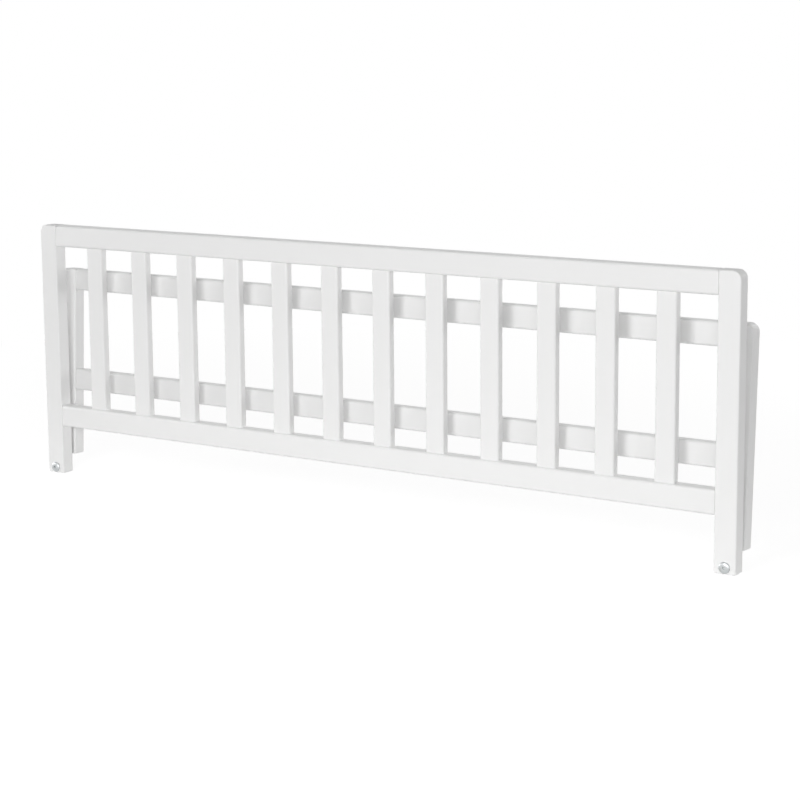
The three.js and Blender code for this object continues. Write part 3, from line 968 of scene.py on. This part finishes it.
class BEDGUARD_OT_posts(BedGuardOperator, bpy.types.Operator):
    """Adds the two posts of the guard frame"""

    bl_idname = "bed_guard.add_posts"
    bl_label = "Posts"

    def execute(self, context):
        for name, side in SIDES.items():
            add_upright(f"post_{name}", f"lacquered_post_{name}", side)
        return {"FINISHED"}


class BEDGUARD_OT_guard_rails(BedGuardOperator, bpy.types.Operator):
    """Adds the guard frame's top and bottom rail"""

    bl_idname = "bed_guard.add_guard_rails"
    bl_label = "Guard rails"

    def execute(self, context):
        for node in ("top_rail", "bottom_rail"):
            add_rail(node, f"lacquered_{node}")
        return {"FINISHED"}


class BEDGUARD_OT_slats(BedGuardOperator, bpy.types.Operator):
    """Adds the slats between the guard frame's two rails"""

    bl_idname = "bed_guard.add_slats"
    bl_label = "Slats"

    def execute(self, context):
        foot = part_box("bottom_rail")[1].z
        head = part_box("top_rail")[0].z
        for node in nodes_named("slat_"):
            add_slat(node, f"lacquered_{node}", foot, head)
        return {"FINISHED"}


class BEDGUARD_OT_support_frame(BedGuardOperator, bpy.types.Operator):
    """Adds the folding support frame's two legs and two rails"""

    bl_idname = "bed_guard.add_support_frame"
    bl_label = "Support frame"

    def execute(self, context):
        for name, side in SIDES.items():
            add_upright(f"support_leg_{name}", f"lacquered_leg_{name}", side)
        for level in ("upper", "lower"):
            add_rail(f"support_rail_{level}", f"lacquered_support_rail_{level}")
        return {"FINISHED"}


class BEDGUARD_OT_dowels(BedGuardOperator, bpy.types.Operator):
    """Adds the fluted dowels in the joints between rails and uprights"""

    bl_idname = "bed_guard.add_dowels"
    bl_label = "Dowels"

    def execute(self, context):
        for node in nodes_named("dowel_"):
            add_dowel(node, f"beech_{node}")
        return {"FINISHED"}


class BEDGUARD_OT_hinges(BedGuardOperator, bpy.types.Operator):
    """Adds the two leaves and the pin of each hinge"""

    bl_idname = "bed_guard.add_hinges"
    bl_label = "Hinges"

    def execute(self, context):
        hardware = context.scene.bed_guard_hardware
        for name in SIDES:
            screws = {leaf: nodes_named(f"screw_{name}_{leaf}") for leaf in ("post", "leg")}
            holes = {
                leaf: [(node, hardware.screw_radius) for node in nodes] for leaf, nodes in screws.items()
            }
            holes["post"].append((f"sleeve_nut_{name}", hardware.sleeve_radius))
            post_leaf, leg_leaf = f"hinge_{name}_post_leaf", f"hinge_{name}_leg_leaf"
            add_hinge_leaf(post_leaf, f"zinc_{post_leaf}", HANGING, (-1, 1), holes["post"])
            add_hinge_leaf(leg_leaf, f"zinc_{leg_leaf}", RISING, (0,), holes["leg"])
            add_hinge_pin(f"hinge_{name}_pin", f"zinc_hinge_{name}_pin")
        return {"FINISHED"}


class BEDGUARD_OT_bolts(BedGuardOperator, bpy.types.Operator):
    """Adds the domed bolts through the feet of the posts, and the sleeve nuts that they screw into"""

    bl_idname = "bed_guard.add_bolts"
    bl_label = "Bolts and nuts"

    def execute(self, context):
        for name in SIDES:
            add_bolt(f"bolt_{name}", f"domed_bolt_{name}")
            add_sleeve_nut(f"sleeve_nut_{name}", f"zinc_sleeve_nut_{name}")
        return {"FINISHED"}


class BEDGUARD_OT_screws(BedGuardOperator, bpy.types.Operator):
    """Adds the countersunk screws in the hinge leaves"""

    bl_idname = "bed_guard.add_screws"
    bl_label = "Screws"

    def execute(self, context):
        for node in nodes_named("screw_"):
            add_screw(node, f"zinc_{node}", HANGING if "_post_" in node else RISING)
        return {"FINISHED"}


class BEDGUARD_OT_stage(BedGuardOperator, bpy.types.Operator):
    """Adds the floor, the soft light and the camera"""

    bl_idname = "bed_guard.add_stage"
    bl_label = "Floor, light and camera"

    def execute(self, context):
        stage = context.scene.bed_guard_stage
        add_floor(stage)
        light_world(context.scene, stage)
        for name, (place, target, size) in LAMPS.items():
            add_soft_light(name, place, target, size, getattr(stage, name))
        add_camera(context.scene, stage)
        context.scene.view_settings.view_transform = "Standard"
        return {"FINISHED"}


def add_floor(stage):
    """A wide sheet of paper under the guard."""
    shape = bmesh.new()
    bmesh.ops.create_grid(shape, x_segments=1, y_segments=1, size=FLOOR_REACH)
    floor = new_piece("paper_floor", shape, ALONG_Z)
    floor.data.materials.append(shared_material("matt_paper", paper_floor, stage))


def light_world(scene, stage):
    """Even light all round, which the camera sees as white."""
    world = bpy.data.worlds.new("soft_studio")
    world.use_nodes = True
    tree = world.node_tree
    tree.nodes.clear()
    strength = add_node(
        tree, "ShaderNodeMix", {0: seen_ray(tree), 2: stage.ambient, 3: 1.0}, data_type="FLOAT"
    )
    white = linear("#ffffff")
    glow = add_node(tree, "ShaderNodeBackground", {"Color": white, "Strength": strength.outputs[0]})
    output = add_node(tree, "ShaderNodeOutputWorld")
    tree.links.new(glow.outputs[0], output.inputs["Surface"])
    scene.world = world


def add_soft_light(name, place, target, size, watts):
    """A softbox of the given width and height that faces its target."""
    lamp = bpy.data.lights.new(name, "AREA")
    lamp.shape = "RECTANGLE"
    lamp.size, lamp.size_y = size
    lamp.energy = watts
    holder = bpy.data.objects.new(name, lamp)
    holder.visible_camera = False
    holder.location = place
    holder.rotation_euler = (Vector(target) - Vector(place)).to_track_quat("-Z", "Y").to_euler()
    bpy.context.scene.collection.objects.link(holder)


def add_camera(scene, stage):
    """The camera at the photograph's place, with its lens shifted as the photograph is framed."""
    data = bpy.data.cameras.new("camera")
    data.lens = stage.focal_length
    data.shift_y = stage.camera_shift
    camera = bpy.data.objects.new("camera", data)
    turn = Matrix.Rotation(stage.camera_turn, 4, "Z")
    pitch = Matrix.Rotation(math.radians(90) - stage.camera_pitch, 4, "X")
    roll = Matrix.Rotation(stage.camera_roll, 4, "Z")
    camera.matrix_world = Matrix.Translation(stage.camera_place) @ turn @ pitch @ roll
    scene.collection.objects.link(camera)
    scene.camera = camera


class BEDGUARD_PT_panel(bpy.types.Panel):
    """Lists the guard's pieces and settings in the sidebar"""

    bl_label = "Bed guard"
    bl_idname = "BEDGUARD_PT_panel"
    bl_space_type = "VIEW_3D"
    bl_region_type = "UI"
    bl_category = "Bed guard"

    def draw(self, context):
        for operator in OPERATORS:
            self.layout.operator(operator.bl_idname)


SETTINGS = {
    "bed_guard_wood": BedGuardWood,
    "bed_guard_hardware": BedGuardHardware,
    "bed_guard_stage": BedGuardStage,
}
OPERATORS = (
    BEDGUARD_OT_posts,
    BEDGUARD_OT_guard_rails,
    BEDGUARD_OT_slats,
    BEDGUARD_OT_support_frame,
    BEDGUARD_OT_dowels,
    BEDGUARD_OT_hinges,
    BEDGUARD_OT_bolts,
    BEDGUARD_OT_screws,
    BEDGUARD_OT_stage,
)


def register():
    """Registers the settings, the operators and the panel."""
    for name, settings in SETTINGS.items():
        bpy.utils.register_class(settings)
        setattr(bpy.types.Scene, name, PointerProperty(type=settings))
    for operator in OPERATORS:
        bpy.utils.register_class(operator)
    bpy.utils.register_class(BEDGUARD_PT_panel)


def unregister():
    """Takes away what register added."""
    bpy.utils.unregister_class(BEDGUARD_PT_panel)
    for operator in reversed(OPERATORS):
        bpy.utils.unregister_class(operator)
    for name, settings in SETTINGS.items():
        delattr(bpy.types.Scene, name)
        bpy.utils.unregister_class(settings)


def main():
    """Builds the guard and its stage."""
    register()
    for operator in OPERATORS:
        category, action = operator.bl_idname.split(".")
        getattr(getattr(bpy.ops, category), action)()


if __name__ == "__main__":
    main()
